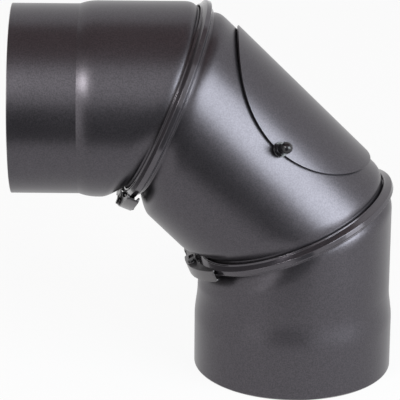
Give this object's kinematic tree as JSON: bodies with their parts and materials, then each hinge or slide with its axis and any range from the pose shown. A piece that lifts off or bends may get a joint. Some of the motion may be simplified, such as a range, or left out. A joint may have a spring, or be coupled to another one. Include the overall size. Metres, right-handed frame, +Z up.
{
  "type": "adjustable flue elbow",
  "caption": "Round steel flue elbow in mitred segments that turn at clamp bands with lever locks, with a bolted cleanout cover, a reduced spigot and a plain socket.",
  "frame": {"origin": "centre of the outlet socket's mouth", "axes": "+Z up along the outlet's axis, -X along the inlet's axis out of the spigot, the elbow lies in the XZ plane"},
  "size_m": [0.3029, 0.1668, 0.3003],
  "materials": {
    "pipe_paint": "satin heat-resistant paint with a fine metallic grain",
    "band_paint": "semi-gloss heat-resistant paint",
    "lock_paint": "satin paint on pressed sheet",
    "pin_black": "blackened rivet",
    "fastener_black": "gloss black",
    "gasket_fibre": "flat mineral fibre"
  },
  "bodies": {
    "outlet": {"outlet_segment": "pipe_paint"},
    "middle": {"middle_segment": "pipe_paint", "cleanout_cover": "pipe_paint", "cover_gasket": "gasket_fibre", "front_stud": "fastener_black", "front_washer": "fastener_black", "front_cap_nut": "fastener_black", "rear_stud": "fastener_black", "rear_washer": "fastener_black", "rear_cap_nut": "fastener_black", "inlet_clamp_band": "band_paint", "inlet_hinge_lug": "lock_paint", "inlet_anchor_lug": "lock_paint", "inlet_pivot_pin": "pin_black", "inlet_anchor_pin": "pin_black", "outlet_clamp_band": "band_paint", "outlet_hinge_lug": "lock_paint", "outlet_anchor_lug": "lock_paint", "outlet_pivot_pin": "pin_black", "outlet_anchor_pin": "pin_black"},
    "inlet": {"inlet_segment": "pipe_paint"},
    "inlet_lever": {"inlet_lever": "lock_paint", "inlet_link_pin": "pin_black"},
    "inlet_link": {"inlet_link": "lock_paint"},
    "outlet_lever": {"outlet_lever": "lock_paint", "outlet_link_pin": "pin_black"},
    "outlet_link": {"outlet_link": "lock_paint"}
  },
  "joints": [
    {"name": "outlet_joint_turn", "type": "hinge", "parent": "outlet", "child": "middle", "pos_m": [0, 0, 0.1215], "axis": [0.3827, 0, -0.9239], "continuous": true},
    {"name": "inlet_joint_turn", "type": "hinge", "parent": "middle", "child": "inlet", "pos_m": [-0.10112, 0, 0.22262], "axis": [0.9239, 0, -0.3827], "continuous": true},
    {"name": "inlet_lever_swing", "type": "hinge", "parent": "middle", "child": "inlet_lever", "pos_m": [-0.13505, -0.0047, 0.14069], "axis": [0.9239, 0, -0.3827], "range_deg": [0, 110]},
    {"name": "inlet_link_swing", "type": "hinge", "parent": "middle", "child": "inlet_link", "pos_m": [-0.13477, 0.01229, 0.14136], "axis": [0.9239, 0, -0.3827], "range_deg": [0, 55]},
    {"name": "outlet_lever_swing", "type": "hinge", "parent": "middle", "child": "outlet_lever", "pos_m": [-0.08193, -0.0047, 0.08757], "axis": [0.3827, 0, -0.9239], "range_deg": [0, 110]},
    {"name": "outlet_link_swing", "type": "hinge", "parent": "middle", "child": "outlet_link", "pos_m": [-0.08125, 0.01229, 0.08784], "axis": [0.3827, 0, -0.9239], "range_deg": [0, 55]}
  ],
  "couplings": [
    {"joint": "inlet_link_swing", "follows": "inlet_lever_swing", "ratio": 0.5},
    {"joint": "outlet_link_swing", "follows": "outlet_lever_swing", "ratio": 0.5}
  ]
}
